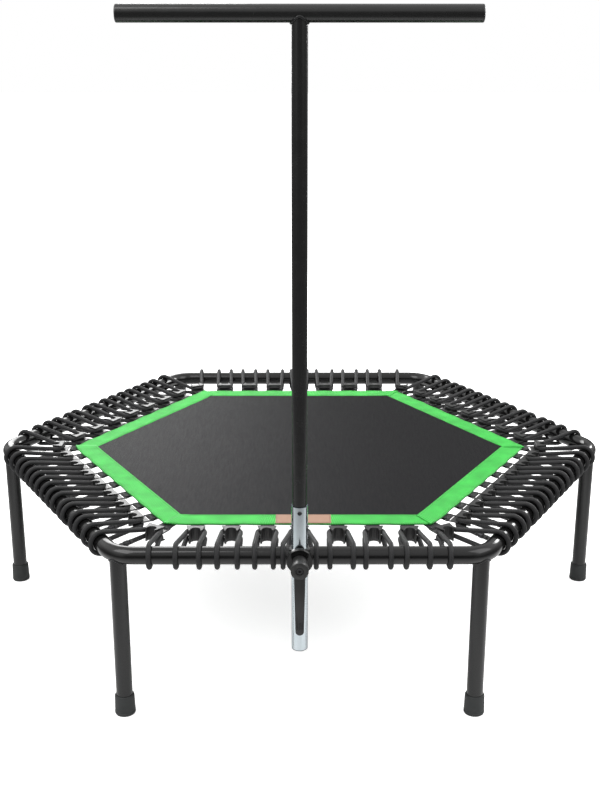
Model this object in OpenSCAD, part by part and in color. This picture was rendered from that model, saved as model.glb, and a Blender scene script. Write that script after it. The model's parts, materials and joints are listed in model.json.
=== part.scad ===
// Hexagonal mini trampoline with bungee rings and a clamped T-handle.
// Origin: on the floor under the middle of the object's box. +Z is up, the handle is towards -Y.

/* [Frame] */
// Distance between opposite corners of the rail, tube centre to tube centre
frame_across = 1300; // [1200:10:1400]
// Outside diameter of the rail tube
rail_od = 32; // [30:1:36]
// Wall of the rail tube
rail_wall = 2; // [1.5:0.5:3]
// Height of the rail's centre line above the floor
rail_z = 318; // [280:1:360]
// Centre-line radius of the corner bends
bend_r = 60; // [50:5:70]

/* [Legs] */
// Outside diameter of a leg tube
leg_od = 30; // [28:1:31]
// Wall of a leg tube
leg_wall = 1.5; // [1.5:0.5:3]
// Height of the joint between leg and socket, below the rail's centre line
socket_drop = 27; // [25:1:32]
// Outside diameter of a rubber foot
foot_od = 38; // [36:1:44]
// Height of a rubber foot
foot_h = 39; // [30:1:50]

/* [Jumping mat] */
// Distance from the middle to the border's outer edge, across the flats
mat_apothem = 434; // [425:1:436]
// Width of the border webbing
border_w = 45.5; // [35:0.5:55]
// Height of the mat's upper face above the rail's centre line
mat_above_rail = 4; // [2:1:6]
// Width of the blank label
label_w = 104; // [80:1:120]
// Depth of the blank label
label_d = 42; // [20:1:44]

/* [Bungee rings] */
// Rings along each edge, without the corner ring
rings_per_edge = 7; // [5:2:7]
// Diameter of the elastic cord
cord_d = 9; // [8:0.5:9]
// Half the distance between a ring's two turns on the rail
turn_half = 19; // [18:0.5:22]
// Half the distance between the turns of the ring behind the clamp
clamp_turn_half = 29; // [27:0.5:31]

/* [Handle] */
// Outside diameter of the lower, zinc-plated tube
post_od = 28.6; // [28.4:0.1:28.6]
// Wall of the lower tube
post_wall = 1.5; // [1.5:0.1:1.5]
// Height of the lower tube's lower end
post_low = 158; // [120:1:190]
// Height of the lower tube's upper end
post_top = 427; // [410:1:450]
// Outside diameter of the upper pole
pole_od = 25.4; // [25.2:0.1:25.4]
// Wall of the upper pole
pole_wall = 1.5; // [1.5:0.1:1.5]
// Height of the cross bar's centre line
bar_z = 1217; // [1150:1:1350]
// Outside diameter of the cross bar
bar_od = 27; // [26:1:30]
// Length of the cross bar, with its end caps
bar_len = 552; // [450:1:650]

/* [Clamp] */
// Distance from the rail's centre line to the lower tube's centre line
post_out = 34; // [34:0.5:36]
// Height of the clamp screw above the rail's centre line
clamp_up = 15; // [13:1:17]
// Diameter of the clamp boss
boss_d = 46; // [42:1:48]
// Length of the lever, from the clamp screw's centre line to the tip
lever_len = 116; // [100:1:120]
// Width of the lever at its hub
lever_w = 19.6; // [18:0.2:22]
// Width of the lever at its tip
lever_tip_w = 14.4; // [12:0.2:16]
// Pitch of the clamp screw's thread
thread_pitch = 1.5; // [1:0.25:2]

/* [Hidden] */
$fn = 64;
black = [0.09, 0.09, 0.1];
zinc = [0.78, 0.8, 0.82];
green = [0.3, 0.85, 0.3];
charcoal = [0.2, 0.2, 0.22];
grey = [0.3, 0.3, 0.31];
tan_colour = [0.85, 0.68, 0.56];

// Frame
frame_r = frame_across / 2;
rail_r = rail_od / 2;
rail_apothem = frame_r * cos(30);
bend_cut = bend_r * tan(30);
rail_len = frame_r - 2 * bend_cut;
bend_centre = frame_r - bend_r / cos(30);
leg_place = bend_centre + bend_r;
leg_top = rail_z - socket_drop;
foot_base = 6;
thread_r = 5;
slack = 0.1;

// Mat and border
mat_top = rail_z + mat_above_rail;
mat_t = 1.6;
border_t = 3.2;
border_inner = mat_apothem - border_w;
mat_gap = 0.5;

// Anchors, straps and rings: the anchor is half a spool with two cord channels
anchor_core = 12.3;
anchor_wall = 3;
anchor_flange = 18;
anchor_h = 27;
anchor_z = rail_z - 2;
anchor_web = 3;
anchor_y = mat_apothem + 42.5;
anchor_corner_y = mat_apothem / cos(30) + 41;
anchor_arc = 216;
lug_w = 30;
lug_len = 38;
lug_bar = 5;
strap_slot = 4.4;
channel_z = 6.4;
anchor_pitch = 65.2;
clamp_drift = 5.5;
cord_r = cord_d / 2;
cord_sides = 5;
core_run = anchor_core + cord_r + 0.6;
rail_run = rail_r + cord_r + 0.9;
corner_turn = 62;
wrap_steps = 7;
core_steps = 8;
crimp_len = 9;
crimp_wall = 0.8;
ring_half = (rings_per_edge - 1) / 2;

// Handle
post_r = post_od / 2;
post_bore = post_r - post_wall;
pole_r = pole_od / 2;
pole_bore = pole_r - pole_wall;
pole_low = post_top - 125;
bar_r = bar_od / 2;
cap_t = 2.5;
button_z = post_top - 10;
button_r = 3.6;
button_proud = 1.2;
leaf_w = 6;

// Clamp, with distances measured outwards from the rail's centre line
clamp_z = rail_z + clamp_up;
liner_in = post_r + 0.05;
liner_out = post_r + 0.95;
collar_in = liner_out + 0.05;
collar_out = post_out - rail_r;
collar_low = clamp_z - 17;
collar_top = clamp_z + 13;
boss_back = post_out + collar_in + 0.1;
boss_front = post_out + collar_in + 10;
pad_back = post_out + liner_out + 0.3;
pad_front = boss_front - 4.4;
core_back = pad_front + 0.1;
hub_back = boss_front + 1.5;
hub_front = boss_front + 38;
rim_back = hub_front - 12;
tooth_count = 18;
tooth_out = 9.6;
tooth_in = 8.4;
tooth_len = 4.6;
core_r = 7;
core_front = hub_back + 17;
shelf_front = core_front + 3.6;
screw_head_r = 6.2;
screw_head_back = hub_front - 5;
screw_r = 3;
hub_r = 13;
rim_r = 15.2;
wire_r = 0.8;
coil_r = 4.9;
coil_turns = 3;
lever_rake = 5;

// Whole object: the origin lies under the middle of the box
front_reach = rail_apothem + hub_front + lever_rake;
back_reach = rail_apothem + rail_run + cord_r;
y_shift = (front_reach - back_reach) / 2;
post_y = -rail_apothem - post_out;

function unit(v) = v / norm(v);

module placed() translate([0, y_shift, 0]) children();
// Edge 0 faces -Y, and the edges and corners count anticlockwise from above.
// In both frames +Y points away from the middle of the hexagon.
module edge(i) placed() rotate([0, 0, 60 * i - 180]) children();
module corner(i) placed() rotate([0, 0, 60 * i - 150]) children();
module tube(r, wall, h) {
    difference() {
        cylinder(r = r, h = h);
        translate([0, 0, -1]) cylinder(r = r - wall, h = h + 2);
    }
}
// Clamp frame: the clamp screw's centre line becomes +Z, measured outwards from the rail's
// centre line, and +Y of the frame is up.
module clamp_axis() {
    placed() translate([0, -rail_apothem, clamp_z]) rotate([90, 0, 0]) children();
}

// ---- Frame ----
module rail(i) {
    color(black) edge(i) translate([-rail_len / 2, rail_apothem, rail_z])
        rotate([0, 90, 0]) tube(rail_r, rail_wall, rail_len);
}
module bend(i) {
    color(black) corner(i) translate([0, bend_centre, rail_z])
        rotate_extrude(angle = 60, start = 60) translate([bend_r, 0]) difference() {
            circle(r = rail_r);
            circle(r = rail_r - rail_wall);
        }
}
module leg_sockets() {
    color(black) for (i = [0:5]) corner(i) difference() {
        translate([0, leg_place, leg_top]) cylinder(r = leg_od / 2, h = socket_drop);
        translate([0, leg_place, leg_top - 1]) cylinder(r = thread_r, h = socket_drop + 2);
        translate([0, bend_centre, rail_z]) rotate_extrude(angle = 90, start = 45)
            translate([bend_r, 0]) circle(r = rail_r);
    }
}
module leg_studs() {
    plug_h = 12;
    stud_up = socket_drop - rail_r - 1;
    color(zinc) for (i = [0:5]) corner(i) translate([0, leg_place, leg_top]) rotate_extrude()
        polygon([[0, -plug_h], [leg_od / 2 - leg_wall - 0.05, -plug_h],
            [leg_od / 2 - leg_wall - 0.05, -0.1], [thread_r - slack, -0.1],
            [thread_r - slack, stud_up - 1], [thread_r - 1, stud_up], [0, stud_up]]);
}
module leg(i) {
    color(black) corner(i) translate([0, leg_place, foot_base])
        tube(leg_od / 2, leg_wall, leg_top - foot_base);
}
module foot(i) {
    r = foot_od / 2;
    cup = leg_od / 2 + 0.05;
    color(grey) corner(i) translate([0, leg_place, 0]) rotate_extrude()
        polygon([[0, 0], [r - 2.5, 0], [r - 0.7, 0.7], [r, 2.5], [r, 6], [r - 0.8, 7],
            [r - 0.8, 9], [r - 0.3, 10], [r - 1, foot_h - 3], [r - 1.8, foot_h - 0.8],
            [r - 2.8, foot_h], [cup, foot_h], [cup, foot_base], [0, foot_base]]);
}

// ---- Clamp ----
module clamp_collar() {
    color(black) placed() difference() {
        union() {
            translate([0, post_y, collar_low]) cylinder(r = collar_out, h = collar_top - collar_low);
            translate([-13, post_y, collar_low]) cube([26, post_out, rail_z + 6 - collar_low]);
        }
        translate([0, post_y, collar_low - 1]) cylinder(r = collar_in, h = collar_top - collar_low + 2);
        translate([-50, -rail_apothem, rail_z]) rotate([0, 90, 0]) cylinder(r = rail_r, h = 100);
        translate([0, post_y, clamp_z]) rotate([90, 0, 0]) cylinder(r = thread_r + 0.1, h = 50);
    }
}
module clamp_boss() {
    lip = 1.5;
    color(black) difference() {
        clamp_axis() rotate_extrude()
            polygon([[thread_r, boss_back], [boss_d / 2 - lip, boss_back], [boss_d / 2, boss_back + lip],
                [boss_d / 2, boss_front - lip], [boss_d / 2 - lip, boss_front],
                [thread_r, boss_front]]);
        placed() translate([0, post_y, collar_low - 20]) cylinder(r = collar_out, h = 90);
    }
}
module collar_liner() {
    color(grey) placed() translate([0, post_y, 0]) rotate_extrude()
        polygon([[liner_in, collar_low - 1], [liner_out, collar_low - 1],
            [liner_out, collar_top + 0.3], [collar_out - 1, collar_top + 0.3],
            [collar_out - 1, collar_top + 1.8], [liner_in, collar_top + 1.8]]);
}
module clamp_pad() {
    color([0.75, 0.62, 0.3]) clamp_axis() rotate_extrude()
        polygon([[0, pad_back], [thread_r - 1, pad_back], [thread_r - slack, pad_back + 0.8],
            [thread_r - slack, pad_front], [0, pad_front]]);
}
// A ring of teeth: one tip and one root for each tooth, with a little room when it is the socket
module teeth(room) {
    polygon([for (k = [0:tooth_count - 1], s = [0, 1])
        let (a = 360 * (k + s / 2) / tooth_count, r = (s == 0 ? tooth_out : tooth_in) + room)
        [r * cos(a), r * sin(a)]]);
}
module lever_core() {
    color(zinc) clamp_axis() difference() {
        union() {
            translate([0, 0, core_back]) cylinder(r = thread_r - slack, h = core_front - core_back);
            translate([0, 0, boss_front + 0.3]) linear_extrude(hub_back + tooth_len - boss_front - 0.3)
                teeth(0);
            translate([0, 0, hub_back]) cylinder(r = core_r, h = core_front - hub_back);
        }
        translate([0, 0, core_front - 12]) cylinder(r = screw_r, h = 13);
    }
}
module lever_screw() {
    color(zinc) clamp_axis() difference() {
        rotate_extrude() polygon([[0, core_front - 11.5], [screw_r - 0.05, core_front - 11.5],
            [screw_r - 0.05, screw_head_back], [screw_head_r, screw_head_back],
            [screw_head_r, hub_front - 1.6], [screw_head_r - 0.6, hub_front - 1], [0, hub_front - 1]]);
        translate([0, 0, hub_front - 4]) cylinder(r = 2.9, h = 4, $fn = 6);
    }
}
module lever_spring() {
    steps = 12;
    sides = 6;
    low = shelf_front + wire_r + 0.1;
    high = screw_head_back - wire_r - 0.1;
    last = coil_turns * steps;
    path = [for (k = [0:last]) let (a = 360 * k / steps)
        [coil_r * cos(a), coil_r * sin(a), low + (high - low) * k / last]];
    color(zinc) clamp_axis() swept_rod(path, wire_r, sides);
}
module clamp_lever() {
    tip_r = lever_tip_w / 2;
    tip_z = lever_len - tip_r;
    outline = concat([[-lever_w / 2, 0], [lever_w / 2, 0]],
        [for (a = [0:15:180]) [tip_r * cos(a), -tip_z - tip_r * sin(a)]]);
    arm_front = hub_front + lever_rake;
    color(black) clamp_axis() difference() {
        union() {
            translate([0, 0, hub_back]) cylinder(r = hub_r, h = rim_back - hub_back + 2);
            translate([0, 0, rim_back]) cylinder(r = rim_r, h = hub_front - rim_back);
            intersection() {
                translate([0, 0, rim_back]) linear_extrude(40) polygon(outline);
                translate([-lever_w, 0, 0]) rotate([0, 90, 0]) linear_extrude(2 * lever_w)
                    polygon([[-rim_back - 1.5, 0], [-hub_front + 1, 0], [-hub_front + 1, -14],
                        [-arm_front, -34], [-arm_front, -lever_len - 1],
                        [-arm_front + 8, -lever_len - 1], [-arm_front + 9, -36],
                        [-rim_back - 1.5, -16]]);
            }
        }
        translate([0, 0, hub_back - 1]) linear_extrude(tooth_len + 1.2) teeth(0.2);
        translate([0, 0, hub_back]) cylinder(r = core_r + slack, h = core_front + 0.6 - hub_back);
        translate([0, 0, hub_back]) cylinder(r = screw_r + 0.6, h = 50);
        translate([0, 0, shelf_front]) cylinder(r = screw_head_r + 0.6, h = 50);
        for (x = [-4, 0, 4]) translate([x - 0.9, -lever_len + 12, arm_front - 1])
            cube([1.8, 28, 2]);
    }
}

// ---- Handle ----
module lower_tube() {
    color(zinc) placed() difference() {
        translate([0, post_y, post_low]) tube(post_r, post_wall, post_top - post_low);
        translate([0, post_y, button_z]) rotate([90, 0, 0]) cylinder(r = button_r + 0.3, h = 30);
    }
}
module tube_plug() {
    color(grey) placed() translate([0, post_y, post_low]) rotate_extrude()
        polygon([[0, -2], [post_r - 1, -2], [post_r, -1], [post_r, 0], [post_bore - 0.05, 0],
            [post_bore - 0.05, 12], [post_bore - 2, 13], [post_bore - 2, 1], [0, 1]]);
}
module upper_pole() {
    color(black) placed() difference() {
        translate([0, post_y, pole_low]) tube(pole_r, pole_wall, bar_z - pole_low);
        translate([-40, post_y, bar_z]) rotate([0, 90, 0]) cylinder(r = bar_r, h = 80);
        translate([0, post_y, button_z]) rotate([90, 0, 0]) cylinder(r = button_r + 0.3, h = 30);
    }
}
module cross_bar() {
    color(black) placed() translate([-bar_len / 2 + cap_t, post_y, bar_z]) rotate([0, 90, 0])
        tube(bar_r, 1.5, bar_len - 2 * cap_t);
}
module bar_end_caps() {
    bore = bar_r - 1.5;
    color(black) placed() for (s = [-1, 1]) translate([s * bar_len / 2, post_y, bar_z])
        rotate([0, -90 * s, 0]) rotate_extrude()
            polygon([[0, 0], [bar_r - 2, 0], [bar_r - 0.6, 0.6], [bar_r, 2], [bar_r, cap_t],
                [bore - 0.05, cap_t], [bore - 0.05, 16], [bore - 2, 17], [bore - 2, cap_t], [0, cap_t]]);
}
module snap_button() {
    color(zinc) placed() translate([0, post_y, button_z]) rotate([90, 0, 0]) rotate_extrude()
        polygon([[0, pole_bore - 3.7], [button_r + 1.2, pole_bore - 3.7],
            [button_r + 1.2, pole_bore - 2.2], [button_r, pole_bore - 2.2],
            [button_r, post_r], [button_r - 0.9, post_r + button_proud - 0.2],
            [button_r - 1.8, post_r + button_proud], [0, post_r + button_proud]]);
}
// A leaf bent to a V: one leg lies on the pole's back wall and the other pushes the button out
module button_spring() {
    t = 0.6;
    back = -pole_bore + 2;
    front = pole_bore - 3.8;
    color(zinc) placed() translate([-leaf_w / 2, post_y, button_z]) rotate([0, 90, 0])
        linear_extrude(leaf_w)
            polygon([[-8, -front], [6, -front], [46, -back - 2 * t], [6, -back], [-8, -back],
                [-8, -back - t], [6, -back - t], [42, -back - 3 * t], [6, -front + t], [-8, -front + t]]);
}

// ---- Mat ----
module hexagon_plate(apothem, t) {
    linear_extrude(t) circle(r = apothem / cos(30), $fn = 6);
}
module jumping_mat() {
    color(charcoal) placed() translate([0, 0, mat_top - mat_t - 0.6])
        hexagon_plate(border_inner - mat_gap, mat_t);
}
module border(i) {
    half_out = mat_apothem * tan(30);
    half_in = border_inner * tan(30);
    color(green) edge(i) translate([0, 0, mat_top - border_t]) linear_extrude(border_t)
        polygon([[-half_out, mat_apothem], [half_out, mat_apothem],
            [half_in, border_inner], [-half_in, border_inner]]);
}
module blank_label() {
    color(tan_colour) edge(0) translate([-label_w / 2 - 7, border_inner + 1, mat_top])
        cube([label_w, label_d, 0.8]);
}

// ---- Anchors and rings ----
// How far along edge i the ring k stands. Beside the clamp they all sit a little to one side.
function place(i, k) = k * anchor_pitch - (i == 0 && k != 0 ? clamp_drift : 0);
// Every ring place on an edge or at a corner
module ring_places() {
    for (i = [0:5]) {
        for (k = [-ring_half:ring_half])
            edge(i) translate([place(i, k), anchor_y, 0]) children();
        corner(i) translate([0, anchor_corner_y, 0]) children();
    }
}
module anchor() {
    inner = anchor_core - anchor_wall;
    h = anchor_h / 2;
    w = anchor_web / 2;
    translate([0, 0, anchor_z]) {
        rotate_extrude(angle = anchor_arc, start = 270 - anchor_arc / 2)
            polygon([[inner, -h], [anchor_core, -h], [anchor_core, h], [inner, h]]);
        rotate_extrude(angle = 180, start = 180)
            polygon([[anchor_core - 1, -h], [anchor_flange - 1, -h], [anchor_flange, -h + 1],
                [anchor_flange, -h + 2.1], [anchor_core, -h + 2.4], [anchor_core, -w],
                [anchor_flange, -w + 0.3], [anchor_flange, w - 0.3], [anchor_core, w],
                [anchor_core, h - 2.4], [anchor_flange, h - 2.1], [anchor_flange, h - 1],
                [anchor_flange - 1, h], [anchor_core - 1, h]]);
        difference() {
            translate([-lug_w / 2, -lug_len, -w]) cube([lug_w, lug_len - anchor_core + 1, anchor_web]);
            translate([-lug_w / 2 + 1.7, -lug_len + lug_bar, -w - 1])
                cube([lug_w - 3.4, strap_slot, anchor_web + 2]);
            translate([0, 0, -w - 1]) cylinder(r = anchor_core - 0.5, h = anchor_web + 2);
        }
    }
}
module ring_anchors() {
    color(grey) ring_places() anchor();
}
// A strap is sewn under the mat's edge, runs down to the anchor's lug and back round its bar
module mat_straps() {
    strap_w = 26;
    t = 1.3;
    bar = -lug_len + lug_bar / 2;
    top = mat_top - border_t - 0.1;
    mid = anchor_z;
    half = anchor_web / 2 + 0.15;
    side = lug_bar / 2 + 0.3;
    color(charcoal) ring_places() translate([-strap_w / 2, 0, 0]) rotate([90, 0, 90])
        linear_extrude(strap_w) difference() {
            polygon([[bar + side + t, mid + half], [bar + side + t, mid - half],
                [bar + side, mid - half - t], [bar - side, mid - half - t],
                [bar - side - t, mid - half], [bar - 16, top - 2 * t], [bar - 25, top - 2 * t],
                [bar - 25, top], [bar - 7, top], [bar + side, mid + half + t]]);
            polygon([[bar + side, mid + half], [bar + side, mid - half], [bar - side, mid - half],
                [bar - side, mid + half]]);
        }
}
// The sideways wander of a ring's turns along the rail, by place, so that no two look alike
function wander(i, k) = 1.6 * k + 1.5 * sin(137 * k + 71 * i);
// The half distance between a ring's turns: the ring behind the clamp spreads wider
function half_turn(i, k) =
    i == 0 && k == 0 ? clamp_turn_half : turn_half - 2.8 * cos(60 * (k - 1) + 75 * i);
// One turn round the rail. at is the rail's centre, out points away from the mat, gap is the
// distance back to the anchor. The turn runs from the top, round the outside, to the bottom.
function rail_turn(at, out, gap) =
    let (up = anchor_z + channel_z - rail_z,
        down = anchor_z - channel_z - rail_z,
        from = 180 - atan2(up, gap) - acos(rail_run / norm([gap, up])),
        to = -180 - atan2(down, gap) + acos(rail_run / norm([gap, down])))
    [for (s = [0:wrap_steps]) let (a = from + (to - from) * s / wrap_steps)
        [at[0] + rail_run * cos(a) * out[0], at[1] + rail_run * cos(a) * out[1],
            rail_z + rail_run * sin(a)]];
// The half turn behind the anchor's core, at height z, from angle a0 to a1
function core_turn(at, z, a0, a1) = [for (s = [0:core_steps]) let (a = a0 + (a1 - a0) * s / core_steps)
    [at[0] + core_run * cos(a), at[1] + core_run * sin(a), z]];
function reversed(list) = [for (k = [len(list) - 1:-1:0]) list[k]];
// A whole ring: behind the core in the upper channel, round the rail on the right, behind the
// core in the lower channel, and round the rail on the left
function ring_path(at, right, right_out, left, left_out, gap) = concat(
    core_turn(at, anchor_z + channel_z, 180, 360),
    rail_turn(right, right_out, gap),
    core_turn(at, anchor_z - channel_z, 360, 180),
    reversed(rail_turn(left, left_out, gap)));
function edge_ring(i, k) =
    let (x = place(i, k), m = x + wander(i, k), h = half_turn(i, k))
    ring_path([x, anchor_y], [m + h, rail_apothem], [0, 1], [m - h, rail_apothem], [0, 1],
        rail_apothem - anchor_y);
function corner_ring() =
    let (y = frame_r - corner_turn * cos(60), x = corner_turn * sin(60))
    ring_path([0, anchor_corner_y], [x, y], [sin(30), cos(30)], [-x, y], [-sin(30), cos(30)],
        norm([x - core_run, y - anchor_corner_y]));
// The points round a path at one station, square to the way it runs
function section(p, way, r, sides) =
    let (n = unit(cross(way, [1, 0, 1])), b = cross(way, n))
    [for (j = [0:sides - 1]) p + r * (cos(360 * j / sides) * n + sin(360 * j / sides) * b)];
// The two triangles between stations that start at points a and b, from side j to side next
function patch(a, b, j, next) = [[a + j, a + next, b + next], [a + j, b + next, b + j]];
module swept_loop(path, r, sides) {
    m = len(path);
    points = [for (i = [0:m - 1])
        each section(path[i], unit(path[(i + 1) % m] - path[(i + m - 1) % m]), r, sides)];
    faces = [for (i = [0:m - 1], j = [0:sides - 1])
        each patch(i * sides, ((i + 1) % m) * sides, j, (j + 1) % sides)];
    polyhedron(points, faces);
}
module swept_rod(path, r, sides) {
    m = len(path);
    points = [for (i = [0:m - 1])
        each section(path[i], unit(path[min(i + 1, m - 1)] - path[max(i - 1, 0)]), r, sides)];
    faces = concat([for (i = [0:m - 2], j = [0:sides - 1])
        each patch(i * sides, (i + 1) * sides, j, (j + 1) % sides)],
        [[for (j = [sides - 1:-1:0]) j]], [[for (j = [0:sides - 1]) (m - 1) * sides + j]]);
    polyhedron(points, faces);
}
module edge_rings(i) {
    color(charcoal) for (k = [-ring_half:ring_half]) edge(i) swept_loop(edge_ring(i, k), cord_r, cord_sides);
}
module rings_corner() {
    color(charcoal) for (i = [0:5]) corner(i) swept_loop(corner_ring(), cord_r, cord_sides);
}
// A crimp lies on the lower run of a ring, between the anchor and the rail. a and b are the
// ends of that straight run.
module crimp(a, b) {
    way = unit(b - a);
    mid = a + (b - a) * 0.55;
    translate(mid) rotate([0, acos(way[2]), atan2(way[1], way[0])])
        translate([0, 0, -crimp_len / 2]) tube(cord_r + 0.25 + crimp_wall, crimp_wall, crimp_len);
}
module ring_crimps() {
    color(zinc) for (i = [0:5]) {
        for (k = [-ring_half:ring_half]) edge(i) let (p = edge_ring(i, k))
            crimp(p[core_steps + 1 + wrap_steps], p[core_steps + 2 + wrap_steps]);
        corner(i) let (p = corner_ring())
            crimp(p[core_steps + 1 + wrap_steps], p[core_steps + 2 + wrap_steps]);
    }
}

rail(0);  // rail_front
rail(1);  // rail_front_right
rail(2);  // rail_back_right
rail(3);  // rail_back
rail(4);  // rail_back_left
rail(5);  // rail_front_left
bend(0);  // bend_front_right
bend(1);  // bend_right
bend(2);  // bend_back_right
bend(3);  // bend_back_left
bend(4);  // bend_left
bend(5);  // bend_front_left
leg(0);  // leg_front_right
leg(1);  // leg_right
leg(2);  // leg_back_right
leg(3);  // leg_back_left
leg(4);  // leg_left
leg(5);  // leg_front_left
foot(0);  // foot_front_right
foot(1);  // foot_right
foot(2);  // foot_back_right
foot(3);  // foot_back_left
foot(4);  // foot_left
foot(5);  // foot_front_left
leg_sockets();
leg_studs();
clamp_collar();
clamp_boss();
collar_liner();
clamp_pad();
lever_core();
lever_screw();
lever_spring();
clamp_lever();
lower_tube();
tube_plug();
upper_pole();
cross_bar();
bar_end_caps();
snap_button();
button_spring();
jumping_mat();
border(0);  // border_front
border(1);  // border_front_right
border(2);  // border_back_right
border(3);  // border_back
border(4);  // border_back_left
border(5);  // border_front_left
blank_label();
mat_straps();
ring_anchors();
edge_rings(0);  // rings_front
edge_rings(1);  // rings_front_right
edge_rings(2);  // rings_back_right
edge_rings(3);  // rings_back
edge_rings(4);  // rings_back_left
edge_rings(5);  // rings_front_left
rings_corner();
ring_crimps();
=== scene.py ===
"""Hexagonal mini trampoline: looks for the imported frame."""

import json
from math import acos, atan2, cos, hypot, pi, radians, sin, sqrt, tan

import bmesh
import bpy
from mathutils import Matrix, Vector
from mathutils.bvhtree import BVHTree

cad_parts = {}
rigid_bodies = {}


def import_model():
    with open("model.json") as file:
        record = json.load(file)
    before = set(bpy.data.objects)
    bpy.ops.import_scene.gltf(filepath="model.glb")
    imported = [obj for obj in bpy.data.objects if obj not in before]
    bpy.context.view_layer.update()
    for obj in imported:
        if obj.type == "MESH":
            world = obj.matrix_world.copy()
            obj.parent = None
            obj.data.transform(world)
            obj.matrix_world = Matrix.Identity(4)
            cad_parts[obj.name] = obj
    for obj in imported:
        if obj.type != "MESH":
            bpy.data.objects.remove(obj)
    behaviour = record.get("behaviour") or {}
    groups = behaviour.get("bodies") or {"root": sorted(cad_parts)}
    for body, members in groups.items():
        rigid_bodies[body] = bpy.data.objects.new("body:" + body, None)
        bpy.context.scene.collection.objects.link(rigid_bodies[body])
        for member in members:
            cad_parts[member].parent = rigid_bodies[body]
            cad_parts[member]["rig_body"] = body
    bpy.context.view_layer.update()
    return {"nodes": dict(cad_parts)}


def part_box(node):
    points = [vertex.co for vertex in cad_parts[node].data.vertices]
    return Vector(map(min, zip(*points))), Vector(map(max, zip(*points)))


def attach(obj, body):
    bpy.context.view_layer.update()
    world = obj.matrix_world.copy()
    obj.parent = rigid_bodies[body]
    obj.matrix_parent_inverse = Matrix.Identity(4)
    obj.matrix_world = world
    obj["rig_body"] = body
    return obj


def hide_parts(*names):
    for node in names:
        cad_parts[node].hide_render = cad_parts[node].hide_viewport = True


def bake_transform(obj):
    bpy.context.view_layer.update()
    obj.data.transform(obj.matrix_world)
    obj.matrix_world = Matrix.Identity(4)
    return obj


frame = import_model()

MM = 0.001
# Half an edge of the hexagon for each metre from its middle
EDGE_SLOPE = tan(radians(30))
# How far the mat runs on under its border
MAT_TUCK = 30 * MM
LAMP_AIM = Vector((0, 0, 0.35))
# Name, position, size across in metres, watts
LAMPS = (("key", (-1.6, -1.4, 3.2), 2.2, 60), ("fill", (2.0, -1.0, 2.6), 2.0, 28),
         ("rim", (-1.1, 3.2, 1.75), 1.7, 50), ("side", (2.2, 1.9, 1.75), 0.9, 42))
EDGES = ("front", "front_right", "back_right", "back", "back_left", "front_left")


# ---------------------------------------------------------------------------------------------
# Sizes, read from the frame where it holds them
# ---------------------------------------------------------------------------------------------
def middle(node):
    low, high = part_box(node)
    return (low + high) / 2


def height(node):
    low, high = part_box(node)
    return high.z - low.z


RAIL_R = height("rail_front") / 2
RAIL_Z = middle("rail_front").z
CENTRE = Vector((0, middle("jumping_mat").y, 0))
RAIL_APOTHEM = CENTRE.y - middle("rail_front").y
FRAME_R = RAIL_APOTHEM / cos(radians(30))
BORDER_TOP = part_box("border_front")[1].z
BORDER_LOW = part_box("border_front")[0].z
BORDER_OUT = CENTRE.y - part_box("border_front")[0].y
BORDER_IN = CENTRE.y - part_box("border_front")[1].y
MAT_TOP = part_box("jumping_mat")[1].z
ANCHOR_Z = middle("ring_anchors").z
ANCHOR_H = height("ring_anchors")
POST = Vector((0, middle("upper_pole").y, 0))
POLE_R = (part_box("upper_pole")[1].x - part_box("upper_pole")[0].x) / 2
BAR_R = height("cross_bar") / 2
BAR_Z = middle("cross_bar").z
LEG_R = (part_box("leg_right")[1].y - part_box("leg_right")[0].y) / 2
LEG_PLACE = middle("leg_right").x

# The rings and anchors, laid out as the frame lays them out
RINGS_PER_EDGE = 7
RING_HALF = (RINGS_PER_EDGE - 1) // 2
ANCHOR_Y = BORDER_OUT + 42.5 * MM
ANCHOR_CORNER_Y = BORDER_OUT / cos(radians(30)) + 41 * MM
ANCHOR_PITCH = 65.2 * MM
CLAMP_DRIFT = 5.5 * MM
ANCHOR_CORE = 12.3 * MM
ANCHOR_BORE = 9.3 * MM
CHANNEL = 6.4 * MM
CORD_R = 4.5 * MM
CORE_RUN = ANCHOR_CORE + CORD_R + 0.4 * MM
RAIL_RUN = RAIL_R + CORD_R + 0.2 * MM
TURN_HALF = 19 * MM
CLAMP_TURN_HALF = 29 * MM
CORNER_TURN = 62 * MM
BEND_R = 60 * MM


# ---------------------------------------------------------------------------------------------
# Camera, floor and light
# ---------------------------------------------------------------------------------------------
def make_camera():
    data = bpy.data.cameras.new("camera")
    data.sensor_width = 36
    data.lens = 51.4
    data.clip_start = 0.05
    camera = bpy.data.objects.new("camera", data)
    camera.location = CENTRE + Vector((-0.001, -2.3956, 1.1662))
    camera.rotation_euler = (radians(90 - 17.09), 0, radians(-0.05))
    bpy.context.scene.collection.objects.link(camera)
    bpy.context.scene.camera = camera


def make_floor():
    size = 30
    corners = [(-size, -size, 0), (size, -size, 0), (size, size, 0), (-size, size, 0)]
    floor = mesh_object("floor", corners, [(0, 1, 2, 3)], [floor_material()])


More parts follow.
